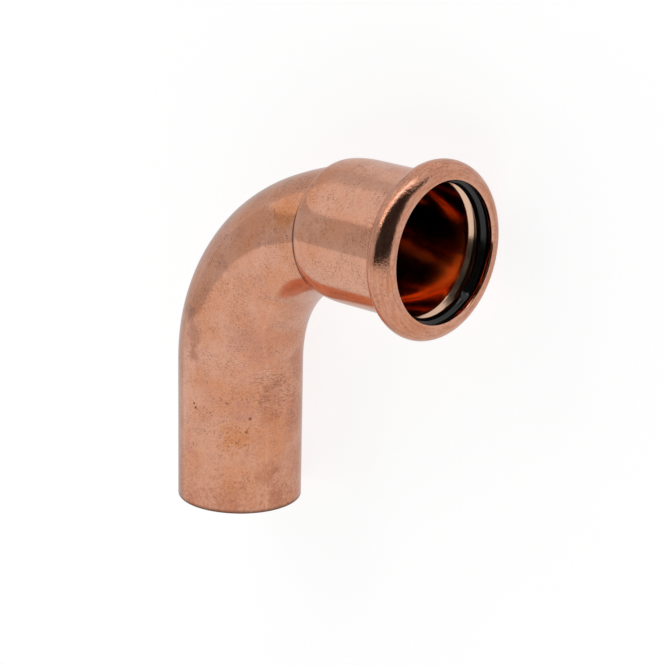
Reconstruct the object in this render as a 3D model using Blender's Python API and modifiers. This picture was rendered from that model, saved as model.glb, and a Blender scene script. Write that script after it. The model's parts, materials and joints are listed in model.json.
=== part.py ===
"""Copper press elbow: a plain spigot, a quarter bend and a press socket with its seal ring.

Metres, +Z up. Each piece is shaped with the spigot standing upright on the origin and the socket
pointing along +X. The finished elbow is then laid on its side, on the face that it comes to rest on.
"""
import math

import bmesh
import bpy
from mathutils import Matrix, Vector

# Pipe that the elbow joins, and the wall of the elbow
PIPE_OD = 0.0220
WALL = 0.0011

# Plain spigot and bend
SPIGOT_LENGTH = 0.0252
RIM_ROUND = 0.00025
BEND_RADIUS = 0.0282
BEND_ANGLE = math.radians(90)
BEND_OVALITY = 0.06
OVAL_RAMP = math.radians(22)

# Press socket, expanded from the end of the bend
SOCKET_CLEARANCE = 0.0003
INSERTION_DEPTH = 0.0223
SHOULDER_SETBACK = 0.0053
SHOULDER_RUN = 0.0055
STOP_ROUND = 0.0005

# Rolled bead at the mouth of the socket
BEAD_OD = 0.0300
BEAD_ROUND = 0.0026
NECK_ROUND = 0.0004
FLANK_TILT = math.radians(20)
FLANK_EDGE = 0.00035
MOUTH_OPENING = 0.0236
LIP_EDGE = 0.0004

# Seal ring in the bead, with dimples that leak until the joint is pressed
SEAL_CLEARANCE = 0.0003
DIMPLES = 3
DIMPLE_RADIUS = 0.0030
DIMPLE_DEPTH = 0.00045
DIMPLE_TILT = math.radians(40)
FIRST_DIMPLE = math.radians(45)

# Densities that decide how the elbow lies
COPPER_DENSITY = 8940
RUBBER_DENSITY = 1200

# Steps of the round forms
SIDES = 40
BEND_STEPS = 18
BEAD_STEPS = 13
SHOULDER_STEPS = 8
ROUND_STEPS = 4
SEAL_SIDES = 14

CUT_MARGIN = 0.001
MERGE = 0.00001

# Worked out from the sizes above
SPIGOT_RADIUS = PIPE_OD / 2
BORE_RADIUS = SPIGOT_RADIUS - WALL
SOCKET_BORE = (PIPE_OD + SOCKET_CLEARANCE) / 2
SOCKET_RADIUS = SOCKET_BORE + WALL
MOUTH_RADIUS = MOUTH_OPENING / 2
BEAD_CENTRE = BEAD_OD / 2 - BEAD_ROUND
GROOVE_ROUND = BEAD_ROUND - WALL
SEAL_ROUND = GROOVE_ROUND - SEAL_CLEARANCE
SOCKET_LENGTH = INSERTION_DEPTH + WALL
SOCKET_AXIS = Vector((math.sin(BEND_ANGLE), 0, math.cos(BEND_ANGLE)))


def clear_scene():
    for item in list(bpy.data.objects):
        bpy.data.objects.remove(item, do_unlink=True)


def new_collection(name):
    group = bpy.data.collections.new(name)
    bpy.context.scene.collection.children.link(group)
    return group


def new_material(name, colour, metallic, roughness):
    finish = bpy.data.materials.new(name)
    finish.use_nodes = True
    finish.diffuse_color = (*colour, 1)
    shader = finish.node_tree.nodes["Principled BSDF"]
    shader.inputs["Base Color"].default_value = (*colour, 1)
    shader.inputs["Metallic"].default_value = metallic
    shader.inputs["Roughness"].default_value = roughness
    return finish


def move_to(item, group):
    for old in list(item.users_collection):
        old.objects.unlink(item)
    group.objects.link(item)


def make_cutter(item, group):
    move_to(item, group)
    item.hide_render = True
    item.display_type = "WIRE"


def arc(centre_r, centre_z, radius, start, end, steps):
    """Points (radius, height) along an arc from one angle to another."""
    points = []
    for step in range(steps + 1):
        angle = start + (end - start) * step / steps
        points.append((centre_r + radius * math.cos(angle), centre_z + radius * math.sin(angle)))
    return points


def bend_point(angle):
    """Point on the centre line of the bend, with the spigot's foot at the origin."""
    across = BEND_RADIUS * (1 - math.cos(angle))
    along = BEND_RADIUS * math.sin(angle)
    return Vector((across, 0, SPIGOT_LENGTH + along))


def mouth_centre():
    return bend_point(BEND_ANGLE) + SOCKET_AXIS * (SOCKET_LENGTH - SHOULDER_SETBACK)


def tube_stations(radius, rim_sign):
    """Centre points and radii along the tube: rounded rim, spigot and bend."""
    stations = []
    for step in range(ROUND_STEPS + 1):
        turn = math.pi / 2 * step / ROUND_STEPS
        height = RIM_ROUND * (1 - math.cos(turn))
        stations.append((Vector((0, 0, height)), radius + rim_sign * RIM_ROUND * (1 - math.sin(turn))))
    for step in range(BEND_STEPS + 1):
        stations.append((bend_point(BEND_ANGLE * step / BEND_STEPS), radius))
    return stations


def swept_tube(name, stations):
    """Solid round bar along the stations, as a closed mesh."""
    data = bpy.data.curves.new(name + "_path", "CURVE")
    data.dimensions = "3D"
    data.bevel_depth = stations[-1][1]
    data.bevel_resolution = (SIDES - 4) // 2
    data.use_fill_caps = True
    spline = data.splines.new("POLY")
    spline.points.add(len(stations) - 1)
    for point, (centre, radius) in zip(spline.points, stations):
        point.co = (*centre, 1)
        point.radius = radius / data.bevel_depth
    path = bpy.data.objects.new(name + "_path", data)
    bpy.context.scene.collection.objects.link(path)
    solid = curve_to_mesh(path, name)
    press_oval(solid)
    return solid


def press_oval(solid):
    """Narrows the bend in its own plane and widens it across, as bending a tube does."""
    for corner in solid.data.vertices:
        arm_x = BEND_RADIUS - corner.co.x
        arm_z = corner.co.z - SPIGOT_LENGTH
        angle = math.atan2(arm_z, arm_x)
        from_end = min(angle, BEND_ANGLE - angle) / OVAL_RAMP
        share = min(max(from_end, 0), 1)
        oval = BEND_OVALITY * share * share * (3 - 2 * share)
        reach = math.hypot(arm_x, arm_z)
        change = -oval * (reach - BEND_RADIUS) / reach
        corner.co.x -= arm_x * change
        corner.co.z += arm_z * change
        corner.co.y *= 1 + oval


def curve_to_mesh(path, name):
    view = bpy.context.evaluated_depsgraph_get()
    mesh = bpy.data.meshes.new_from_object(path.evaluated_get(view))
    mesh.name = name
    shape = bmesh.new()
    shape.from_mesh(mesh)
    bmesh.ops.remove_doubles(shape, verts=shape.verts, dist=MERGE)
    bmesh.ops.recalc_face_normals(shape, faces=shape.faces)
    shape.to_mesh(mesh)
    shape.free()
    mesh.shade_smooth()
    solid = bpy.data.objects.new(name, mesh)
    solid.matrix_world = path.matrix_world
    bpy.data.objects.remove(path, do_unlink=True)
    bpy.context.scene.collection.objects.link(solid)
    return solid


def turned_solid(name, profile):
    """Solid turned from a profile of (radius, height) points, its axis along the socket."""
    mesh = bpy.data.meshes.new(name)
    edges = [(index, index + 1) for index in range(len(profile) - 1)]
    mesh.from_pydata([(radius, 0, height) for radius, height in profile], edges, [])
    solid = bpy.data.objects.new(name, mesh)
    bpy.context.scene.collection.objects.link(solid)
    turn = solid.modifiers.new("turn", "SCREW")
    turn.axis = "Z"
    turn.steps = SIDES
    turn.render_steps = SIDES
    turn.use_merge_vertices = True
    turn.merge_threshold = MERGE
    turn.use_smooth_shade = True
    solid.location = mouth_centre()
    solid.rotation_euler = (0, BEND_ANGLE, 0)
    return solid


def bead_wall(radius, side_radius, edge_round):
    """Skin of the bead from its front, down its flank, to the rounded edge at the socket's side."""
    edge_r = side_radius + edge_round
    tangent = (edge_r - BEAD_CENTRE) / (radius + edge_round)
    back = math.acos(max(tangent, math.sin(FLANK_TILT)))
    bead = arc(BEAD_CENTRE, -BEAD_ROUND, radius, math.pi / 2, -back, BEAD_STEPS)
    flank_r, flank_z = bead[-1]
    inset = (edge_r - flank_r) * math.cos(back) - edge_round
    edge_z = flank_z + inset / math.sin(back)
    return bead + arc(edge_r, edge_z, edge_round, math.pi - back, math.pi, ROUND_STEPS)


def shoulder_skin():
    """Quarter ellipse from the socket's side down to the spigot's radius."""
    points = []
    for step in range(SHOULDER_STEPS + 1):
        turn = math.pi / 2 * step / SHOULDER_STEPS
        radius = SPIGOT_RADIUS + (SOCKET_RADIUS - SPIGOT_RADIUS) * math.cos(turn)
        points.append((radius, SHOULDER_RUN * (1 - math.sin(turn)) - SOCKET_LENGTH))
    return points


def socket_skin_profile():
    bead = bead_wall(BEAD_ROUND, SOCKET_RADIUS, NECK_ROUND)
    return [(0, 0)] + bead + shoulder_skin() + [(0, -SOCKET_LENGTH)]


def socket_core_profile():
    edge_r = MOUTH_RADIUS + LIP_EDGE
    lip_front = arc(edge_r, -LIP_EDGE, LIP_EDGE, math.pi / 2, math.pi, ROUND_STEPS)
    lip_back = arc(edge_r, LIP_EDGE - WALL, LIP_EDGE, math.pi, math.pi * 1.5, ROUND_STEPS)
    stop = arc(SOCKET_BORE - STOP_ROUND, STOP_ROUND - INSERTION_DEPTH, STOP_ROUND,
               0, -math.pi / 2, ROUND_STEPS)
    groove = bead_wall(GROOVE_ROUND, SOCKET_BORE, FLANK_EDGE)
    outside = [(0, CUT_MARGIN), (edge_r, CUT_MARGIN)]
    return outside + lip_front + lip_back + groove + stop + [(0, -INSERTION_DEPTH)]


def add_boolean(item, other, operation):
    cut = item.modifiers.new(other.name, "BOOLEAN")
    cut.operation = operation
    cut.solver = "EXACT"
    cut.object = other


def make_elbow_body(cutters):
    """One tube: spigot, bend and socket, with its bore and the groove in the bead."""
    body = swept_tube("elbow_body", tube_stations(SPIGOT_RADIUS, -1))
    skin = turned_solid("socket_skin", socket_skin_profile())
    below = (Vector((0, 0, -CUT_MARGIN)), BORE_RADIUS + RIM_ROUND)
    bore = swept_tube("tube_bore", [below] + tube_stations(BORE_RADIUS, 1))
    core = turned_solid("socket_core", socket_core_profile())
    for tool, operation in ((skin, "UNION"), (bore, "DIFFERENCE"), (core, "DIFFERENCE")):
        make_cutter(tool, cutters)
        add_boolean(body, tool, operation)
    body.data.materials.append(new_material("copper", (0.78, 0.44, 0.31), 1.0, 0.3))
    return body


def seal_section_place(angle):
    """Frame on the seal ring's section at one angle round the ring: X outwards, Z to the mouth."""
    to_mouth = Matrix.Translation(mouth_centre()) @ Matrix.Rotation(BEND_ANGLE, 4, "Y")
    round_ring = Matrix.Rotation(angle, 4, "Z")
    return to_mouth @ round_ring @ Matrix.Translation((BEAD_CENTRE, 0, -BEAD_ROUND))


def make_dimple(number):
    """Ball that scoops one leak dimple out of the side of the ring facing the bore and the mouth."""
    place = seal_section_place(FIRST_DIMPLE + math.tau * number / DIMPLES)
    reach = SEAL_ROUND + DIMPLE_RADIUS - DIMPLE_DEPTH
    offset = Vector((-math.cos(DIMPLE_TILT), 0, math.sin(DIMPLE_TILT))) * reach
    bpy.ops.mesh.primitive_uv_sphere_add(segments=24, ring_count=12, radius=DIMPLE_RADIUS)
    ball = bpy.context.object
    ball.name = f"dimple_{number + 1}"
    ball.matrix_world = place @ Matrix.Translation(offset)
    return ball


def make_seal_ring(cutters):
    bpy.ops.mesh.primitive_torus_add(major_segments=SIDES, minor_segments=SEAL_SIDES,
                                     major_radius=BEAD_CENTRE, minor_radius=SEAL_ROUND)
    seal = bpy.context.object
    seal.name = "seal_ring"
    seal.location = mouth_centre() - SOCKET_AXIS * BEAD_ROUND
    seal.rotation_euler = (0, BEND_ANGLE, 0)
    seal.data.shade_smooth()
    for number in range(DIMPLES):
        ball = make_dimple(number)
        make_cutter(ball, cutters)
        add_boolean(seal, ball, "DIFFERENCE")
    seal.data.materials.append(new_material("seal_rubber", (0.02, 0.02, 0.023), 0.0, 0.3))
    return seal


def measure(pieces):
    """Corner points and centre of mass of the finished pieces."""
    view = bpy.context.evaluated_depsgraph_get()
    points = []
    mass = 0
    moment = Vector()
    for piece, density in pieces:
        mesh = piece.evaluated_get(view).to_mesh()
        corners = [piece.matrix_world @ corner.co for corner in mesh.vertices]
        mesh.calc_loop_triangles()
        for triangle in mesh.loop_triangles:
            a, b, c = (corners[index] for index in triangle.vertices)
            weight = density * a.dot(b.cross(c)) / 6
            mass += weight
            moment += weight * (a + b + c) / 4
        points += corners
    return points, moment / mass


def lies_over(face, centre):
    """True where the point lies straight over a face of the hull."""
    corners = [corner.co for corner in face.verts]
    for start, end in zip(corners, corners[1:] + corners[:1]):
        if (end - start).cross(centre - start).dot(face.normal) < 0:
            return False
    return True


def resting_down(points, centre, wanted):
    """Outward direction of the hull face, nearest to the wanted side, that carries the weight."""
    hull = bmesh.new()
    for point in points:
        hull.verts.new(point)
    bmesh.ops.convex_hull(hull, input=hull.verts)
    bmesh.ops.recalc_face_normals(hull, faces=hull.faces)
    carrying = [face.normal.copy() for face in hull.faces if lies_over(face, centre)]
    hull.free()
    return max(carrying, key=lambda normal: normal.dot(wanted))


def lay_down(stand, pieces):
    """Turns the elbow onto its resting face, socket along +X, box centred over the origin."""
    bpy.context.view_layer.update()
    points, centre = measure(pieces)
    up = -resting_down(points, centre, Vector((0, 1, 0)))
    along = (SOCKET_AXIS - up * SOCKET_AXIS.dot(up)).normalized()
    turn = Matrix((along, up.cross(along), up))
    turned = [turn @ point for point in points]
    low = Vector(min(point[axis] for point in turned) for axis in range(3))
    high = Vector(max(point[axis] for point in turned) for axis in range(3))
    shift = Vector((-(low.x + high.x) / 2, -(low.y + high.y) / 2, -low.z))
    stand.matrix_world = Matrix.Translation(shift) @ turn.to_4x4()


def main():
    clear_scene()
    elbow = new_collection("press_elbow")
    cutters = new_collection("cutters")
    body = make_elbow_body(cutters)
    seal = make_seal_ring(cutters)
    move_to(body, elbow)
    move_to(seal, elbow)
    stand = bpy.data.objects.new("resting_place", None)
    elbow.objects.link(stand)
    lay_down(stand, ((body, COPPER_DENSITY), (seal, RUBBER_DENSITY)))
    for piece in [body, seal] + list(cutters.objects):
        piece.parent = stand
    bpy.context.view_layer.update()


main()
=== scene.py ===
"""Copper press elbow lying on a pale floor, seen from the side that the photograph shows.

Metres, +Z up. Shapes are worked out in the piece's own axes, with the spigot standing on the origin and
the socket pointing along +X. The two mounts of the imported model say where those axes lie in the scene.
"""

import json
import math

import bpy
from mathutils import Matrix, Vector, noise


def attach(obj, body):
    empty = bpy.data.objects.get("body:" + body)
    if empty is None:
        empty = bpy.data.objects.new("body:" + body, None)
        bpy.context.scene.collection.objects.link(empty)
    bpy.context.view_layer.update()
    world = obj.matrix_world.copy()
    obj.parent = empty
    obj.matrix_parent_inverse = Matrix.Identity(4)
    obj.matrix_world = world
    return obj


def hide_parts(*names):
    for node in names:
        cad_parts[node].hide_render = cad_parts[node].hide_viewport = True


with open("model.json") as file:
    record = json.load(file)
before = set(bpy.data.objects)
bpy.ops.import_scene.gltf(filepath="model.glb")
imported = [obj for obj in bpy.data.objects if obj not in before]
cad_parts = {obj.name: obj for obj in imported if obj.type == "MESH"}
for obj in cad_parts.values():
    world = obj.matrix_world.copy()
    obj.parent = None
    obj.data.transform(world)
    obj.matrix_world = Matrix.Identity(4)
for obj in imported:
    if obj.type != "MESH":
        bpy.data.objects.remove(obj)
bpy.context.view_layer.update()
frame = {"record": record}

# Sizes of the elbow, as its solids have them
PIPE_OD = 0.0220
WALL = 0.0011
SPIGOT_LENGTH = 0.0252
RIM_ROUND = 0.00025
BEND_RADIUS = 0.0282
BEND_OVALITY = 0.06
OVAL_RAMP = math.radians(22)
SOCKET_CLEARANCE = 0.0003
INSERTION_DEPTH = 0.0223
SHOULDER_SETBACK = 0.0053
SHOULDER_RUN = 0.0055
STOP_ROUND = 0.0005
BEAD_OD = 0.0300
BEAD_ROUND = 0.0026
NECK_ROUND = 0.0004
FLANK_TILT = math.radians(20)
FLANK_EDGE = 0.00035
MOUTH_OPENING = 0.0236
LIP_EDGE = 0.0004
SEAL_CLEARANCE = 0.0003
DIMPLES = 3
DIMPLE_RADIUS = 0.0030
DIMPLE_DEPTH = 0.00045
DIMPLE_TILT = math.radians(40)
FIRST_DIMPLE = math.radians(45)

SPIGOT_RADIUS = PIPE_OD / 2
BORE_RADIUS = SPIGOT_RADIUS - WALL
SOCKET_BORE = (PIPE_OD + SOCKET_CLEARANCE) / 2
SOCKET_RADIUS = SOCKET_BORE + WALL
BEAD_CENTRE = BEAD_OD / 2 - BEAD_ROUND
GROOVE_ROUND = BEAD_ROUND - WALL
SEAL_ROUND = GROOVE_ROUND - SEAL_CLEARANCE
SOCKET_LENGTH = INSERTION_DEPTH + WALL
MOUTH_X = BEND_RADIUS + SOCKET_LENGTH - SHOULDER_SETBACK
SOCKET_Z = SPIGOT_LENGTH + BEND_RADIUS

# Fineness of the meshes. Crowding draws the bend's rings together near the socket.
SIDES = 176
SEAL_SIDES = 44
RING_STEP = 0.0006
FLANK_STEP = 0.0002
RIM_STEPS = 5
SHOULDER_STEPS = 22
BEAD_STEPS = 32
EDGE_STEPS = 6
LIP_STEPS = 7
STOP_EDGE_STEPS = 5
STOP_STEPS = 4
OUTER_CROWDING = 0.8
INNER_CROWDING = 0.5
HALVINGS = 40
TURNS = [math.tau * step / SIDES for step in range(SIDES)]

# Camera, in the piece's axes: the side it stands on, its height, its roll and its aim past the foot
CAMERA_AZIMUTH = math.radians(47.41)
CAMERA_ELEVATION = math.radians(17.03)
CAMERA_ROLL = math.radians(1.06)
CAMERA_DISTANCE = 0.440
CAMERA_AIM = (0.016613, 0.028545)
SENSOR = 36.0
LENS = 133.03
CLIP_START = 0.01


def piece_axes():
    """Matrix from the piece's own axes to the scene, from the faces that the two mounts lie on."""
    mounts = {mount["name"]: mount for mount in frame["record"]["mounts"]}
    up = -Vector(mounts["spigot_end"]["axis"]).normalized()
    along = Vector(mounts["pipe_stop"]["axis"]).normalized()
    across = up.cross(along).normalized()
    foot = Vector(mounts["spigot_end"]["pos_m"]) + across * (SPIGOT_RADIUS - WALL / 2)
    turn = Matrix((along, across, up)).transposed()
    return Matrix.Translation(foot) @ turn.to_4x4()


PIECE = piece_axes()


def arc(centre_r, centre_z, radius, start, end, steps):
    """Profile points on an arc, from its start angle to its end angle."""
    points = []
    for step in range(steps + 1):
        angle = start + (end - start) * step / steps
        points.append((centre_r + radius * math.cos(angle), centre_z + radius * math.sin(angle)))
    return points


def straight(start, end, step):
    """Points between two profile points, both left out, about one step apart."""
    count = max(2, round(math.dist(start, end) / step))
    return [tuple(a + (b - a) * i / count for a, b in zip(start, end)) for i in range(1, count)]


def bead_wall(radius, side_radius, edge_round):
    """Skin of the bead from its front, down its flank, to the rounded edge at the socket's side."""
    edge_r = side_radius + edge_round
    tangent = (edge_r - BEAD_CENTRE) / (radius + edge_round)
    back = math.acos(max(tangent, math.sin(FLANK_TILT)))
    bead = arc(BEAD_CENTRE, -BEAD_ROUND, radius, math.pi / 2, -back, BEAD_STEPS)
    flank_r, flank_z = bead[-1]
    inset = (edge_r - flank_r) * math.cos(back) - edge_round
    edge = arc(edge_r, flank_z + inset / math.sin(back), edge_round, math.pi - back, math.pi, EDGE_STEPS)
    return bead + straight(bead[-1], edge[0], FLANK_STEP) + edge


def tube_point(angle, turn, radius):
    """Point on the tube round the bend, which bending has pressed oval. The turn starts on the outside."""
    share = min(max(min(angle, math.pi / 2 - angle) / OVAL_RAMP, 0), 1)
    oval = BEND_OVALITY * share * share * (3 - 2 * share)
    reach = BEND_RADIUS + radius * math.cos(turn) * (1 - oval)
    across = radius * math.sin(turn) * (1 + oval)
    return Vector((BEND_RADIUS - reach * math.cos(angle), across, SPIGOT_LENGTH + reach * math.sin(angle)))


def shoulder_x(radius):
    """Where the socket's outer shoulder, a quarter ellipse, lies at one radius from the socket's axis."""
    share = min(max((radius - SPIGOT_RADIUS) / (SOCKET_RADIUS - SPIGOT_RADIUS), 0), 1)
    return MOUTH_X - SOCKET_LENGTH + SHOULDER_RUN * (1 - math.sqrt(1 - share * share))


def stop_x(_radius):
    """Where the flat pipe stop lies, the same at every radius."""
    return MOUTH_X - INSERTION_DEPTH


def meeting_angle(turn, radius, surface):
    """Angle of the bend at which a line along the tube meets a surface across the socket."""
    low = 0.0
    high = math.pi / 2
    for _ in range(HALVINGS):
        middle = (low + high) / 2
        point = tube_point(middle, turn, radius)
        if point.x < surface(math.hypot(point.y, point.z - SOCKET_Z)):
            low = middle
        else:
            high = middle
    return low


def arrivals(ends, radius):
    """Distance from the socket's axis and angle round it at which each line along the tube arrives."""
    reaches = []
    directions = []
    for turn, end in zip(TURNS, ends):
        point = tube_point(end, turn, radius)
        reaches.append(math.hypot(point.y, point.z - SOCKET_Z))
        directions.append(math.atan2(point.y, point.z - SOCKET_Z) % math.tau)
    return reaches, directions


OUTER_ENDS = [meeting_angle(turn, SPIGOT_RADIUS, shoulder_x) for turn in TURNS]
INNER_ENDS = [meeting_angle(turn, BORE_RADIUS, stop_x) for turn in TURNS]
OUTER_REACHES, OUTER_DIRECTIONS = arrivals(OUTER_ENDS, SPIGOT_RADIUS)
INNER_REACHES, INNER_DIRECTIONS = arrivals(INNER_ENDS, BORE_RADIUS)


def level_ring(radius, height):
    """Ring of points round the straight spigot."""
    return [Vector((-radius * math.cos(turn), radius * math.sin(turn), height)) for turn in TURNS]


def rim_rings(radius, sign):
    """Rounded rim at the foot of the spigot, from its end face to its side."""
    rings = []
    for step in range(RIM_STEPS):
        angle = math.pi / 2 * step / RIM_STEPS
        size = radius + sign * RIM_ROUND * (1 - math.sin(angle))
        rings.append(level_ring(size, RIM_ROUND * (1 - math.cos(angle))))
    return rings


def spigot_rings(radius):
    """Rings up the straight spigot, from its rim to the bend."""
    length = SPIGOT_LENGTH - RIM_ROUND
    count = round(length / RING_STEP)
    return [level_ring(radius, RIM_ROUND + length * step / count) for step in range(count)]


def bend_rings(radius, ends, crowding):
    """Rings round the bend up to the given end angle of each line, closer together near the end."""
    count = round(BEND_RADIUS * math.pi / 2 / RING_STEP)
    rings = []
    for step in range(count + 1):
        share = step / count
        share = share + crowding * share * share * (1 - share)
        rings.append([tube_point(end * share, turn, radius) for turn, end in zip(TURNS, ends)])
    return rings


def socket_point(radius, depth, direction):
    """Point round the socket's axis. The direction is an angle from the top."""
    return Vector((MOUTH_X + depth, radius * math.sin(direction), SOCKET_Z + radius * math.cos(direction)))


def turned_rings(profile):
    """Rings round the socket's axis through the points of a profile."""
    return [[socket_point(radius, depth, direction) for direction in OUTER_DIRECTIONS]
            for radius, depth in profile]


def shoulder_point(start, direction, share):
    """Point on the shoulder, at a share of the way from the crease to the socket's side."""
    rise = SOCKET_RADIUS - SPIGOT_RADIUS
    flat = max(SPIGOT_RADIUS - start, 0)
    past = (flat + SHOULDER_RUN) * share - flat
    first = math.asin(max(start - SPIGOT_RADIUS, 0) / rise)
    turn = first + (math.pi / 2 - first) * max(past, 0) / SHOULDER_RUN
    size = SPIGOT_RADIUS + min(past, 0) + rise * math.sin(turn)
    return socket_point(size, SHOULDER_RUN * (1 - math.cos(turn)) - SOCKET_LENGTH, direction)


def shoulder_rings():
    """Rings over the shoulder, from the crease to the socket's side."""
    return [[shoulder_point(start, direction, step / SHOULDER_STEPS)
             for start, direction in zip(OUTER_REACHES, OUTER_DIRECTIONS)]
            for step in range(1, SHOULDER_STEPS + 1)]


def stop_rings():
    """Rings over the pipe stop, from the stop's rounded edge in to the bore."""
    edge = SOCKET_BORE - STOP_ROUND
    return [[socket_point(edge + (start - edge) * step / STOP_STEPS, -INSERTION_DEPTH, direction)
             for start, direction in zip(INNER_REACHES, INNER_DIRECTIONS)]
            for step in range(1, STOP_STEPS)]


def body_parts():
    """Rings of the body, by part: up the outside from the foot, over the lip, and back down the bore."""
    shoulder_end = (SOCKET_RADIUS, SHOULDER_RUN - SOCKET_LENGTH)
    outer_bead = bead_wall(BEAD_ROUND, SOCKET_RADIUS, NECK_ROUND)
    inner_bead = bead_wall(GROOVE_ROUND, SOCKET_BORE, FLANK_EDGE)
    edge = MOUTH_OPENING / 2 + LIP_EDGE
    lip = arc(edge, -LIP_EDGE, LIP_EDGE, math.pi / 2, math.pi, LIP_STEPS)
    lip += arc(edge, LIP_EDGE - WALL, LIP_EDGE, math.pi, math.pi * 1.5, LIP_STEPS)
    stop = arc(SOCKET_BORE - STOP_ROUND, STOP_ROUND - INSERTION_DEPTH, STOP_ROUND, 0, -math.pi / 2,
               STOP_EDGE_STEPS)
    return [
        ("outside", rim_rings(SPIGOT_RADIUS, -1)),
        ("outside", spigot_rings(SPIGOT_RADIUS)),
        ("outside", bend_rings(SPIGOT_RADIUS, OUTER_ENDS, OUTER_CROWDING)),
        ("outside", shoulder_rings()),
        ("outside", turned_rings(straight(shoulder_end, outer_bead[-1], RING_STEP))),
        ("bead", turned_rings(outer_bead[::-1])),
        ("lip", turned_rings(lip)),
        ("groove", turned_rings(inner_bead)),
        ("inside", turned_rings(straight(inner_bead[-1], stop[0], RING_STEP))),
        ("inside", turned_rings(stop)),
        ("inside", stop_rings()),
        ("inside", bend_rings(BORE_RADIUS, INNER_ENDS, INNER_CROWDING)[::-1]),
        ("inside", spigot_rings(BORE_RADIUS)[::-1]),
        ("inside", rim_rings(BORE_RADIUS, 1)[::-1]),
    ]


PARTS_TO_CREASE = 3
PARTS_TO_BEAD = 5


def closed_rows(rings):
    """Faces between neighbouring rings, and between the last ring and the first."""
    faces = []
    for row in range(len(rings)):
        here = row * SIDES
        there = (row + 1) % len(rings) * SIDES
        for side in range(SIDES):
            beside = (side + 1) % SIDES
            faces.append((here + side, there + side, there + beside, here + beside))
    return faces


def ring_mesh(name, rings, faces):
    mesh = bpy.data.meshes.new(name)
    mesh.from_pydata([PIECE @ point for ring in rings for point in ring], [], faces)
    mesh.update()
    return mesh


def add_piece(mesh, finish):
    mesh.materials.append(finish)
    mesh.shade_smooth()
    piece = bpy.data.objects.new(mesh.name, mesh)
    bpy.context.scene.collection.objects.link(piece)
    return piece


# What the body's skin tells its finish at each point: the place on the straightened tube, how deep inside
# it is, whether it is on the bead or on the groove's flank, how the flank's shading leans, and the painted
# shade at its creases and foot
SKIN_FIELDS = {
    "unbent": "FLOAT_VECTOR",
    "inside": "FLOAT",
    "formed": "FLOAT",
    "flank": "FLOAT",
    "lean": "FLOAT_VECTOR",
    "painted_shade": "FLOAT",
}
BORE_START = 0.35
DARK_FROM = 0.014
DARK_OVER = 0.012
# Reach of the painted shade at the crease and the bead's neck, and the factor that widens it at the foot's
# edge
CREASE_REACH = 0.0005
FOOT_LINE = 0.35
FLANK_LEAN = 0.50
FLANK_OVERLAP = 2
LINE_STRIDE = 8
WAVE_HEIGHT = 0.000022
WAVE_SCALE = 110.0


def lengths_along(rings):
    """Mean distance along the skin from the first ring to each ring, measured on some of the lines."""
    along = [0.0]
    for before, after in zip(rings, rings[1:]):
        steps = [(b - a).length for a, b in zip(before[::LINE_STRIDE], after[::LINE_STRIDE])]
        along.append(along[-1] + sum(steps) / len(steps))
    return along


def skin_values(parts):
    """Values of the skin's fields, ring after ring."""
    along = lengths_along([ring for _, part in parts for ring in part])
    marks = [mark for mark, part in parts for _ in part]
    crease = along[sum(len(part) for _, part in parts[:PARTS_TO_CREASE]) - 1]
    neck = along[sum(len(part) for _, part in parts[:PARTS_TO_BEAD]) + EDGE_STEPS // 2]
    mouth = along[marks.index("lip")]
    first_flank = marks.index("groove") + BEAD_STEPS - FLANK_OVERLAP
    inwards = [PIECE.to_3x3() @ Vector((0, -math.sin(direction), -math.cos(direction)))
               for direction in OUTER_DIRECTIONS]
    values = {name: [] for name in SKIN_FIELDS}
    for row, (mark, length) in enumerate(zip(marks, along)):
        size = BORE_RADIUS if mark == "inside" else SPIGOT_RADIUS
        depth = min(max((length - mouth - DARK_FROM) / DARK_OVER, 0.0), 1.0)
        # Painted shade: dark lines at the crease, the bead's neck and the foot's edge
        near = min(abs(length - crease), abs(length - neck), length * FOOT_LINE)
        on_flank = 1.0 if mark == "groove" and row >= first_flank else 0.0
        values["unbent"] += [(size * math.cos(turn), size * math.sin(turn), length) for turn in TURNS]
        values["inside"] += [BORE_START + (1 - BORE_START) * depth if mark == "inside" else 0.0] * SIDES
        values["formed"] += [1.0 if mark == "bead" else 0.0] * SIDES
        values["flank"] += [on_flank] * SIDES
        values["lean"] += [inward * FLANK_LEAN * on_flank for inward in inwards]
        values["painted_shade"] += [max(0.0, 1 - near / CREASE_REACH)] * SIDES
    return values


def store_field(mesh, name, kind, values):
    layer = mesh.attributes.new(name, kind, "POINT")
    if kind == "FLOAT_VECTOR":
        layer.data.foreach_set("vector", [number for value in values for number in value])
    else:
        layer.data.foreach_set("value", values)


def waviness(point):
    """Slight unevenness that drawing and bending leave in the tube, never above its skin."""
    return WAVE_HEIGHT * (noise.noise(point * WAVE_SCALE) - 1)


def make_uneven(mesh):
    moved = [vertex.co + normal.vector * waviness(vertex.co)
             for vertex, normal in zip(mesh.vertices, mesh.vertex_normals)]
    mesh.vertices.foreach_set("co", [number for point in moved for number in point])
    mesh.update()


def make_body(finish):
    parts = body_parts()
    rings = [ring for _, part in parts for ring in part]
    mesh = ring_mesh("copper_elbow", rings, closed_rows(rings))
    values = skin_values(parts)
    for name, kind in SKIN_FIELDS.items():
        store_field(mesh, name, kind, values[name])
    make_uneven(mesh)
    return add_piece(mesh, finish)


DIMPLE_EDGE = 0.00007
DIMPLE_FADED = -20
DIMPLE_FULL = 30


def section_frame(angle):
    """Frame on the seal ring's section at one angle: X outwards, Z towards the mouth."""
    to_mouth = Matrix.Translation((MOUTH_X, 0, SOCKET_Z)) @ Matrix.Rotation(math.pi / 2, 4, "Y")
    return to_mouth @ Matrix.Rotation(angle, 4, "Z") @ Matrix.Translation((BEAD_CENTRE, 0, -BEAD_ROUND))


def dimple_depth(point, centres):
    """How far the ring's skin is pressed in at a point, with a soft edge round each dimple."""
    depth = 0.0
    for centre in centres:
        over = (DIMPLE_RADIUS - (point - centre).length) / DIMPLE_EDGE
        if over > DIMPLE_FADED:
            depth += DIMPLE_EDGE * math.log1p(math.exp(min(over, DIMPLE_FULL)))
    return depth


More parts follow.
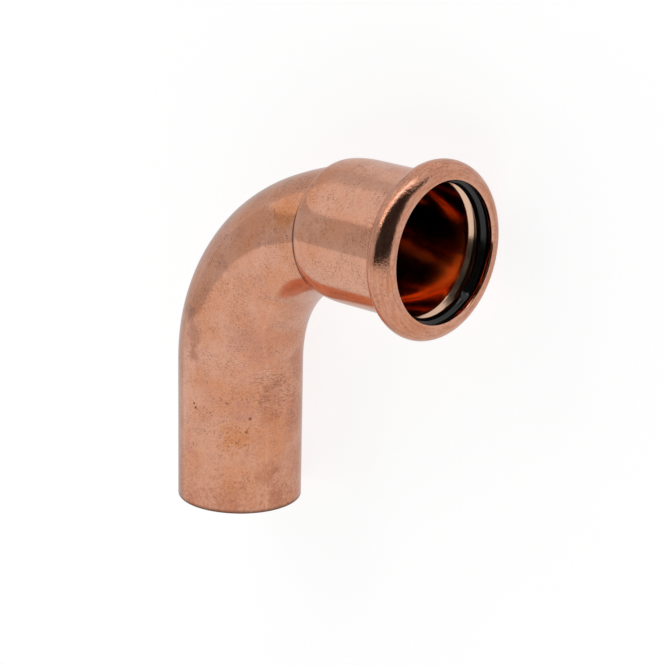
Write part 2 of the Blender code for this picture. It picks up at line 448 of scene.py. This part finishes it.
def seal_rings():
    """Rings of the seal, each right round the mouth at one angle of the ring's own section."""
    reach = SEAL_ROUND + DIMPLE_RADIUS - DIMPLE_DEPTH
    offset = Vector((-math.cos(DIMPLE_TILT), 0, math.sin(DIMPLE_TILT))) * reach
    centres = [section_frame(FIRST_DIMPLE + math.tau * i / DIMPLES) @ offset for i in range(DIMPLES)]
    rings = []
    for step in range(SEAL_SIDES):
        angle = math.tau * step / SEAL_SIDES
        outward = Vector((math.cos(angle), 0, math.sin(angle)))
        ring = []
        for turn in TURNS:
            place = section_frame(turn)
            depth = dimple_depth(place @ (outward * SEAL_ROUND), centres)
            ring.append(place @ (outward * (SEAL_ROUND - depth)))
        rings.append(ring)
    return rings


def make_seal(finish):
    rings = seal_rings()
    faces = [face[::-1] for face in closed_rows(rings)]
    return add_piece(ring_mesh("rubber_seal", rings, faces), finish)


def node(tree, kind, inputs=None, **settings):
    """Adds a shader node. An input is a value or the output socket of another node."""
    made = tree.nodes.new("ShaderNode" + kind)
    for key, value in settings.items():
        setattr(made, key, value)
    for key, value in (inputs or {}).items():
        if isinstance(value, bpy.types.NodeSocket):
            tree.links.new(value, made.inputs[key])
        else:
            made.inputs[key].default_value = value
    return made


def maths(tree, operation, *values):
    return node(tree, "Math", dict(enumerate(values)), operation=operation).outputs[0]


def plus(tree, first, second):
    return maths(tree, "ADD", first, second)


def times(tree, first, second):
    return maths(tree, "MULTIPLY", first, second)


def vector_maths(tree, operation, *values, output="Vector"):
    return node(tree, "VectorMath", dict(enumerate(values)), operation=operation).outputs[output]


def scaled(tree, vector, factors):
    return vector_maths(tree, "MULTIPLY", vector, factors)


def fade(tree, value, start, end, low=0.0, high=1.0):
    """Smooth step of a value from one level to another."""
    inputs = {"Value": value, "From Min": start, "From Max": end, "To Min": low, "To Max": high}
    return node(tree, "MapRange", inputs, interpolation_type="SMOOTHSTEP").outputs[0]


def between(tree, value, low, high, edge):
    """1 between two limits and 0 outside them, with a soft edge."""
    over = fade(tree, value, low - edge / 2, low + edge / 2)
    under = fade(tree, value, high + edge / 2, high - edge / 2)
    return times(tree, over, under)


def mix(tree, factor, first, second):
    """Mixes two colours."""
    return node(tree, "Mix", {0: factor, 6: first, 7: second}, data_type="RGBA").outputs[2]


def mix_levels(tree, factor, first, second, name):
    """Mixes two numbers, in a node labelled with a name."""
    inputs = {0: factor, 2: first, 3: second}
    return node(tree, "Mix", inputs, data_type="FLOAT", label=name).outputs[0]


def grain(tree, vector, scale, detail=3.0, roughness=0.55, distortion=0.0):
    inputs = {"Vector": vector, "Scale": scale, "Detail": detail, "Roughness": roughness,
              "Distortion": distortion}
    return node(tree, "TexNoise", inputs).outputs["Fac"]


def degrees(tree, radians):
    return times(tree, radians, math.degrees(1))


def new_finish(name):
    finish = bpy.data.materials.new(name)
    finish.use_nodes = True
    finish.node_tree.nodes.clear()
    return finish


MILLIMETRES = (1000.0, 1000.0, 1000.0)
NOISE_MIDDLE = 0.5
PALE = (0.870, 0.460, 0.320, 1)
SALMON = (0.830, 0.375, 0.222, 1)
AMBER = (0.800, 0.310, 0.125, 1)
RUST = (0.560, 0.205, 0.115, 1)
UMBER = (0.300, 0.125, 0.070, 1)
PLUM = (0.640, 0.300, 0.225, 1)
# Pale cream: painted light on the groove's flank
PAINTED_FLANK_LIGHT = (0.930, 0.600, 0.430, 1)
DUSK = (0.560, 0.255, 0.165, 1)
# Bore colours, brighter and redder than the outside: a painted glow of light bounced inside
DEEP = (1.000, 0.500, 0.220, 1)
TUNNEL = (0.980, 0.400, 0.130, 1)
# Nearly black: the painted shade deep in the bore, where the bend hides it from the light
PAINTED_BORE_SHADE = (0.060, 0.012, 0.006, 1)
# Soot for the pores and specks, and the colour of the painted shade at the creases and the foot
SOOT_AND_SHADE = (0.100, 0.045, 0.032, 1)

# Noises on the straightened tube: scale for a millimetre, detail, roughness and distortion
GRAINS = {
    "tone": (0.09, 3.0),
    "blotch": (0.30, 6.0, 0.62, 0.4),
    "mottle": (1.4, 5.0, 0.72),
    "speck": (3.2, 3.0, 0.7),
    "crowd": (0.25, 3.0),
    "peel": (2.0, 4.0, 0.7),
}
# The same for noises with a scale of their own in each direction
DRAWN_GRAINS = {
    "ripple": ((0.42, 0.42, 1.5), 2.0, 0.55),
    "drawing": ((9.0, 9.0, 0.35), 3.0, 0.6),
    "streak": ((0.35, 0.35, 2.2), 4.0, 0.65),
}
# Marks that a noise makes: the noise, its two levels and, unless they are 0 and 1, the mark's two values
MARKS = {
    "salmon": ("tone", 0.40, 0.60),
    "plum": ("blotch", 0.50, 0.72),
    "amber": ("blotch", 0.46, 0.30),
    "rust": ("mottle", 0.48, 0.72),
    "pale": ("mottle", 0.46, 0.30),
    "fleck": ("speck", 0.50, 0.68),
    "bare": ("speck", 0.48, 0.34),
    "crowded": ("crowd", 0.42, 0.60, 0.30, 1.0),
    "foot": ("mottle", 0.35, 0.65),
    "worn": ("streak", 0.40, 0.62, 0.12, 0.55),
    "satin": ("blotch", 0.35, 0.70, 0.07, 0.12),
    "dull": ("speck", 0.40, 0.70, 0.0, 0.04),
}
# Colours over the palest one, below and above the stains: mark, strength and colour
LAYERS_BELOW = (
    ("salmon", 1.0, SALMON),
    ("plum", 0.50, PLUM),
    ("amber", 0.40, AMBER),
)
LAYERS_ABOVE = (
    ("rust", 0.42, RUST),
    ("pale", 0.30, PALE),
    ("fleck", 0.60, UMBER),
    ("bare", 0.35, PALE),
    ("foot", 0.60, RUST),
    ("scratch", 0.60, UMBER),
    ("pore", 0.70, SOOT_AND_SHADE),
)
# Stains: place on the straightened tube and reach, both in millimetres, colour and strength
STAINS = (
    ((-7.2, -8.3, 14.2), 3.4, AMBER, 0.75),
    ((4.9, -9.8, 62.0), 3.6, AMBER, 0.85),
    ((-3.0, -10.6, 76.0), 9.0, PALE, 0.8),
    ((-8.6, -6.9, 36.0), 6.0, PLUM, 0.55),
    ((-9.9, -4.8, 30.5), 4.0, PLUM, 0.45),
    ((-10.6, -3.0, 22.5), 3.6, RUST, 0.5),
    ((-10.4, -3.6, 18.0), 3.6, RUST, 0.5),
    ((-8.2, -7.3, 19.2), 2.6, PLUM, 0.5),
    ((-8.5, -7.0, 9.0), 15.0, AMBER, 0.22),
    ((-10.2, 3.8, 8.0), 5.0, RUST, 0.4),
    ((-10.2, 3.8, 17.0), 5.0, RUST, 0.45),
    ((-10.0, 4.2, 27.0), 5.5, RUST, 0.5),
    ((-10.5, -3.2, 7.5), 3.4, RUST, 0.65),
    ((-10.8, -2.0, 3.0), 3.2, RUST, 0.6),
    ((2.7, -10.7, 34.5), 3.2, DUSK, 0.85),
    ((1.8, -10.8, 31.5), 3.2, DUSK, 0.85),
    ((1.0, -10.9, 28.8), 2.6, DUSK, 0.85),
    ((-6.0, -9.2, 1.5), 4.5, RUST, 0.35),
    ((0.4, -11.0, 19.4), 0.32, SOOT_AND_SHADE, 1.0),
    ((0.0, -11.0, 18.7), 0.38, SOOT_AND_SHADE, 1.0),
    ((-6.0, -9.2, 20.4), 0.40, SOOT_AND_SHADE, 0.5),
    ((-8.9, -6.5, 17.7), 0.45, SOOT_AND_SHADE, 0.8),
    ((-8.5, -7.0, 15.3), 0.42, SOOT_AND_SHADE, 0.7),
)
# Frayed edges of the stains that reach further than the last value, in millimetres
FRAY_GRAIN = {"Scale": 0.5, "Detail": 4.0}
FRAY_REACH = (7.0, 7.0, 7.0)
FRAYED_FROM = 1.0
FULL_REACH = 0.25

# Small marks, in millimetres
PORE_SCALE = 1.25
PORE_EDGE = (0.19, 0.08)
FOOT_FADE = (9.0, 0.5)
SCUFF_PLACE = (-10.9, -1.0, 22.5)
SCUFF_REACH = 8.5
SCUFF_ELSEWHERE = 0.30
SCRATCH_WIDTH = 0.045
# Painted shade at the creases, the bead's neck and the foot: its fade and strength
PAINTED_SHADE_FADE = (0.25, 0.90, 0.0, 0.95)

# Painted shade, nearly black, in the bore where the bend hides it from the light, on the straightened tube:
# along it, and its sides past the bend and at the corner
BORE_SHADE_START = 133.0
CORNER_START = 114.0
BORE_SHADE_END = 174.0
BORE_SHADE_EDGE = 10.0
BORE_SHADE_SIDE = (0.0, 6.0)
CORNER_SIDE = (5.0, 1.0)
CORNER_FRONT = (-1.0, -5.0)

# Relief of the skin: what each mark adds to its height or takes from it, and the bump's settings
RELIEF = (
    ("mottle", 0.45),
    ("speck", 0.16),
    ("drawing", 0.05),
    ("peel", 6.0),
    ("pore", -1.0),
    ("scratch", -0.6),
)
RELIEF_STRENGTH = 0.4
RELIEF_DISTANCE = 0.00002
FLANK_SATIN = 0.06
BORE_SATIN = 0.04


def skin_field(tree, name):
    output = "Vector" if SKIN_FIELDS[name] == "FLOAT_VECTOR" else "Fac"
    return node(tree, "Attribute", attribute_name=name).outputs[output]


def near_place(tree, skin, place, reach):
    """1 at a place on the skin, fading out towards its reach."""
    away = vector_maths(tree, "DISTANCE", skin, place, output="Value")
    return fade(tree, away, reach, reach * FULL_REACH)


def thin_lines(tree, ripple):
    """Thin wavy lines, where a noise crosses its middle value."""
    level = maths(tree, "ABSOLUTE", maths(tree, "SUBTRACT", ripple, NOISE_MIDDLE))
    return fade(tree, level, SCRATCH_WIDTH, 0.0)


def copper_marks(tree, skin, formed):
    """Noises and marks on the tube, by name, each as a number."""
    marks = {name: grain(tree, skin, *settings) for name, settings in GRAINS.items()}
    for name, (stretch, detail, roughness) in DRAWN_GRAINS.items():
        marks[name] = grain(tree, scaled(tree, skin, stretch), 1.0, detail, roughness)
    for name, (source, *levels) in MARKS.items():
        marks[name] = fade(tree, marks[source], *levels)
    cells = node(tree, "TexVoronoi", {"Vector": skin, "Scale": PORE_SCALE}).outputs["Distance"]
    above = node(tree, "SeparateXYZ", {0: skin}).outputs["Z"]
    scuffed = maths(tree, "MAXIMUM", near_place(tree, skin, SCUFF_PLACE, SCUFF_REACH),
                    times(tree, marks["crowded"], SCUFF_ELSEWHERE))
    marks["pore"] = times(tree, fade(tree, cells, *PORE_EDGE), marks["crowded"])
    marks["fleck"] = times(tree, marks["fleck"], marks["crowded"])
    marks["foot"] = times(tree, marks["foot"], fade(tree, above, *FOOT_FADE))
    marks["scratch"] = times(tree, thin_lines(tree, marks["ripple"]), scuffed)
    marks["peel"] = times(tree, marks["peel"], fade(tree, formed, 0.0, 1.0))
    return marks


def layered(tree, colour, layers, marks):
    """A colour under layers of other colours."""
    for name, strength, tint in layers:
        colour = mix(tree, times(tree, marks[name], strength), colour, tint)
    return colour


def stained(tree, colour, skin):
    """A colour under the stains. The larger stains have frayed edges."""
    warp = node(tree, "TexNoise", {"Vector": skin} | FRAY_GRAIN).outputs["Color"]
    shift = vector_maths(tree, "SUBTRACT", warp, (NOISE_MIDDLE, NOISE_MIDDLE, NOISE_MIDDLE))
    frayed = vector_maths(tree, "ADD", skin, scaled(tree, shift, FRAY_REACH))
    for place, reach, tint, strength in STAINS:
        around = near_place(tree, frayed if reach > FRAYED_FROM else skin, place, reach)
        colour = mix(tree, times(tree, around, strength), colour, tint)
    return colour


def bore_colour(tree, skin, inside):
    """Colour of the bore: copper brighter and redder than outside, a painted glow, and painted shade, nearly
    black, where the bend hides it from the light.
    """
    place = node(tree, "SeparateXYZ", {0: skin}).outputs
    bore = mix(tree, fade(tree, inside, BORE_START, 1.0), DEEP, TUNNEL)
    bore_shaded = times(tree, fade(tree, place["X"], *BORE_SHADE_SIDE),
                   between(tree, place["Z"], BORE_SHADE_START, BORE_SHADE_END, BORE_SHADE_EDGE))
    corner = times(tree, fade(tree, place["Y"], *CORNER_FRONT), fade(tree, place["X"], *CORNER_SIDE))
    corner = times(tree, corner, between(tree, place["Z"], CORNER_START, BORE_SHADE_END, BORE_SHADE_EDGE))
    # Painted shade where the bend hides the bore from the light
    return mix(tree, maths(tree, "MAXIMUM", bore_shaded, corner), bore, PAINTED_BORE_SHADE)


def copper_colour(tree, skin, marks, fields):
    """Colour of the whole body: the drawn tube, its bore, the bead, painted light on the groove's flank and
    painted shade along the creases.
    """
    colour = layered(tree, PALE, LAYERS_BELOW, marks)
    colour = stained(tree, colour, skin)
    colour = layered(tree, colour, LAYERS_ABOVE, marks)
    bore = bore_colour(tree, skin, fields["inside"])
    colour = mix(tree, fade(tree, fields["inside"], 0.0, BORE_START), colour, bore)
    colour = mix(tree, times(tree, fields["formed"], marks["worn"]), colour, RUST)
    # Painted light: the groove's flank is coloured pale cream, as if lit
    colour = mix(tree, fields["flank"], colour, PAINTED_FLANK_LIGHT)
    # Painted shade: dark lines at the crease, the bead's neck and the foot's edge
    return mix(tree, fade(tree, fields["painted_shade"], *PAINTED_SHADE_FADE), colour, SOOT_AND_SHADE)


def copper_normal(tree, marks, lean):
    """Normal of the skin with its relief. On the groove's flank it leans."""
    height = 0.0
    for name, share in RELIEF:
        height = plus(tree, height, times(tree, marks[name], share))
    facing = vector_maths(tree, "ADD", node(tree, "NewGeometry").outputs["Normal"], lean)
    facing = vector_maths(tree, "NORMALIZE", facing)
    bump = node(tree, "Bump", {"Height": height, "Strength": RELIEF_STRENGTH,
                               "Distance": RELIEF_DISTANCE, "Normal": facing})
    return bump.outputs[0]


def copper_finish():
    finish = new_finish("drawn_copper")
    tree = finish.node_tree
    fields = {name: skin_field(tree, name) for name in SKIN_FIELDS}
    skin = scaled(tree, fields["unbent"], MILLIMETRES)
    marks = copper_marks(tree, skin, fields["formed"])
    rough = plus(tree, marks["satin"], marks["dull"])
    rough = plus(tree, rough, times(tree, fields["flank"], FLANK_SATIN))
    rough = plus(tree, rough, times(tree, fields["inside"], BORE_SATIN))
    shader = node(tree, "BsdfPrincipled", {"Base Color": copper_colour(tree, skin, marks, fields),
                                           "Metallic": 1.0,
                                           "Roughness": rough,
                                           "Normal": copper_normal(tree, marks, fields["lean"])})
    node(tree, "OutputMaterial", {"Surface": shader.outputs[0]})
    return finish


RUBBER = (0.003, 0.0033, 0.0045, 1)
RUBBER_DUST = (0.010, 0.011, 0.015, 1)
RUBBER_IOR = 1.52
CLOUD_GRAIN = (0.8, 4.0)
FINE_GRAIN = (6.0, 2.0)
DUST_LEVELS = (0.4, 0.75)
RUBBER_ROUGH = (0.3, 0.7, 0.10, 0.20)
RUBBER_STRENGTH = 0.15


def rubber_finish():
    finish = new_finish("seal_rubber")
    tree = finish.node_tree
    skin = scaled(tree, node(tree, "TexCoord").outputs["Object"], MILLIMETRES)
    cloud = grain(tree, skin, *CLOUD_GRAIN)
    bump = node(tree, "Bump", {"Height": grain(tree, skin, *FINE_GRAIN), "Strength": RUBBER_STRENGTH,
                               "Distance": RELIEF_DISTANCE})
    colour = mix(tree, fade(tree, cloud, *DUST_LEVELS), RUBBER, RUBBER_DUST)
    shader = node(tree, "BsdfPrincipled", {"Base Color": colour,
                                           "Roughness": fade(tree, cloud, *RUBBER_ROUGH),
                                           "IOR": RUBBER_IOR,
                                           "Normal": bump.outputs[0]})
    node(tree, "OutputMaterial", {"Surface": shader.outputs[0]})
    return finish


# Floor, and the glow it shows in reflections, painted light and shade: its brightness near the elbow, far
# off and on the left, and a painted dark patch on it between two directions, in degrees, from a corner
FLOOR_SIZE = 6.0
FLOOR_DROP = 0.00002
FLOOR_COLOUR = 0.36
FLOOR_GLOW = 0.845
NEAR_TO_FAR = (0.06, 0.45)
MIRRORED_NEAR = 0.58
MIRRORED_FAR = 0.66
LEFT_BORDER = (-0.03, 0.0)
MIRRORED_LEFT = 0.72
DARK_PATCH_CORNER = (0.03, 0.03, 0.0)
DARK_PATCH_SIDES = (28.0, 47.0)
DARK_PATCH_EDGE = 4.0
DARK_PATCH_START = (0.074, 0.095)
DARK_PATCH_LEVEL = 0.06


def dark_patch_level(tree, place, away):
    """1 off the painted dark patch, and the patch's own brightness on it."""
    past = vector_maths(tree, "SUBTRACT", place, DARK_PATCH_CORNER)
    past = node(tree, "SeparateXYZ", {0: past}).outputs
    angle = degrees(tree, maths(tree, "ARCTAN2", past["Y"], past["X"]))
    dark_patch = times(tree, between(tree, angle, *DARK_PATCH_SIDES, DARK_PATCH_EDGE), fade(tree, away, *DARK_PATCH_START))
    return fade(tree, dark_patch, 0.0, 1.0, 1.0, DARK_PATCH_LEVEL)


def floor_finish():
    """Pale floor that shows white to the camera and keeps the shadow. In reflections its glow is painted
    light and shade: dimmer near the elbow and on the left, and nearly dark on a painted patch.
    """
    finish = new_finish("pale_floor")
    tree = finish.node_tree
    path = node(tree, "LightPath").outputs
    place = node(tree, "NewGeometry").outputs["Position"]
    away = vector_maths(tree, "LENGTH", place, output="Value")
    across = node(tree, "SeparateXYZ", {0: place}).outputs["X"]
    dark_patch = dark_patch_level(tree, place, away)
    mirrored = maths(tree, "MAXIMUM", path["Is Glossy Ray"], path["Is Transmission Ray"])
    # Painted light and shade seen in reflections: the floor's glow is dimmer near the elbow and on the left,
    # and nearly dark on the painted patch
    shown = times(tree, mirrored, fade(tree, away, *NEAR_TO_FAR, MIRRORED_NEAR, MIRRORED_FAR))
    shown = times(tree, shown, fade(tree, across, *LEFT_BORDER, MIRRORED_LEFT, 1.0))
    shown = times(tree, shown, dark_patch)
    strength = maths(tree, "MAXIMUM", shown, times(tree, path["Is Camera Ray"], FLOOR_GLOW))
    covered = times(tree, mirrored, maths(tree, "SUBTRACT", 1.0, dark_patch))
    paint = node(tree, "BsdfDiffuse", {"Color": fade(tree, covered, 0.0, 1.0, FLOOR_COLOUR, 0.0)})
    glow = node(tree, "Emission", {"Strength": strength})
    both = node(tree, "AddShader", {0: paint.outputs[0], 1: glow.outputs[0]})
    node(tree, "OutputMaterial", {"Surface": both.outputs[0]})
    return finish


def make_floor():
    bpy.ops.mesh.primitive_plane_add(size=FLOOR_SIZE, location=(0, 0, -FLOOR_DROP))
    floor = bpy.context.object
    floor.name = "pale_floor"
    floor.data.materials.append(floor_finish())


def camera_axes():
    """Right, up and back directions of the camera, in the piece's axes."""
    back = Vector((math.cos(CAMERA_AZIMUTH) * math.cos(CAMERA_ELEVATION),
                   -math.sin(CAMERA_AZIMUTH) * math.cos(CAMERA_ELEVATION), math.sin(CAMERA_ELEVATION)))
    level = Vector((0, 0, 1)).cross(back).normalized()
    upright = back.cross(level)
    right = level * math.cos(CAMERA_ROLL) + upright * math.sin(CAMERA_ROLL)
    return right, back.cross(right), back


def make_camera():
    right, up, back = camera_axes()
    place = right * CAMERA_AIM[0] + up * CAMERA_AIM[1] + back * CAMERA_DISTANCE
    data = bpy.data.cameras.new("camera")
    data.sensor_width = SENSOR
    data.lens = LENS
    data.clip_start = CLIP_START
    camera = bpy.data.objects.new("camera", data)
    camera.matrix_world = PIECE @ Matrix.Translation(place) @ Matrix((right, up, back)).transposed().to_4x4()
    bpy.context.scene.collection.objects.link(camera)
    bpy.context.scene.camera = camera


# Light round the elbow, as zones of the room. Each has what its first border is measured in, that border's
# two limits and softness, its lower and upper height in degrees and their softness, and two brightnesses
# that a noise mixes. Azimuth 0 is the photographer's side and 90 their right, in degrees. Facing is how far
# a direction turns to the photographer, from -1 to 1. Height 90 is straight up in the photo.
ZONES = (
    ("left_wall", "azimuth", -150, -66, 3, -14.5, 22, 1.6, 0.67, 0.71),
    ("tent_front", "facing", 0.30, 2.0, 0.06, -13, 95, 3, 0.02, 0.16),
    ("strip_light", "facing", 0.08, 0.27, 0.03, 26, 95, 4, 2.7, 3.3),
)
ROOM_LEVEL = 0.95
SEEN_LEVEL = 1.0
CLUTTER_GRAIN = (11.0, 4.0, 0.65)
CLUTTER_LEVELS = (0.45, 0.68)


def room_axes():
    """The photographer's right, straight up in the photo, and the way to the photographer."""
    turn = PIECE.to_3x3()
    _, _, back = camera_axes()
    front = turn @ Vector((back.x, back.y, 0)).normalized()
    top = turn @ Vector((0, 0, 1))
    return top.cross(front), top, front


def room_level(tree, way):
    """Brightness of the room in a direction."""
    right, up, front = [vector_maths(tree, "DOT_PRODUCT", way, axis, output="Value") for axis in room_axes()]
    measures = {"azimuth": degrees(tree, maths(tree, "ARCTAN2", right, front)), "facing": front}
    height = degrees(tree, maths(tree, "ARCSINE", up))
    clutter = grain(tree, way, *CLUTTER_GRAIN)
    level = ROOM_LEVEL
    for name, kind, start, stop, edge, low, high, height_edge, dim, bright in ZONES:
        mask = times(tree, between(tree, measures[kind], start, stop, edge),
                     between(tree, height, low, high, height_edge))
        level = mix_levels(tree, mask, level, fade(tree, clutter, *CLUTTER_LEVELS, dim, bright), name)
    return level


def make_room():
    world = bpy.data.worlds.new("light_tent")
    bpy.context.scene.world = world
    world.use_nodes = True
    tree = world.node_tree
    tree.nodes.clear()
    level = room_level(tree, node(tree, "TexCoord").outputs["Generated"])
    seen = node(tree, "LightPath").outputs["Is Camera Ray"]
    light = node(tree, "Background", {"Strength": mix_levels(tree, seen, level, SEEN_LEVEL, "seen")})
    node(tree, "OutputWorld", {"Surface": light.outputs[0]})


def set_view():
    bpy.context.scene.view_settings.view_transform = "Standard"


def main():
    set_view()
    make_camera()
    make_room()
    make_floor()
    body = make_body(copper_finish())
    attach(body, "root")
    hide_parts("elbow_body")
    seal = make_seal(rubber_finish())
    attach(seal, "root")
    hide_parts("seal_ring")


main()
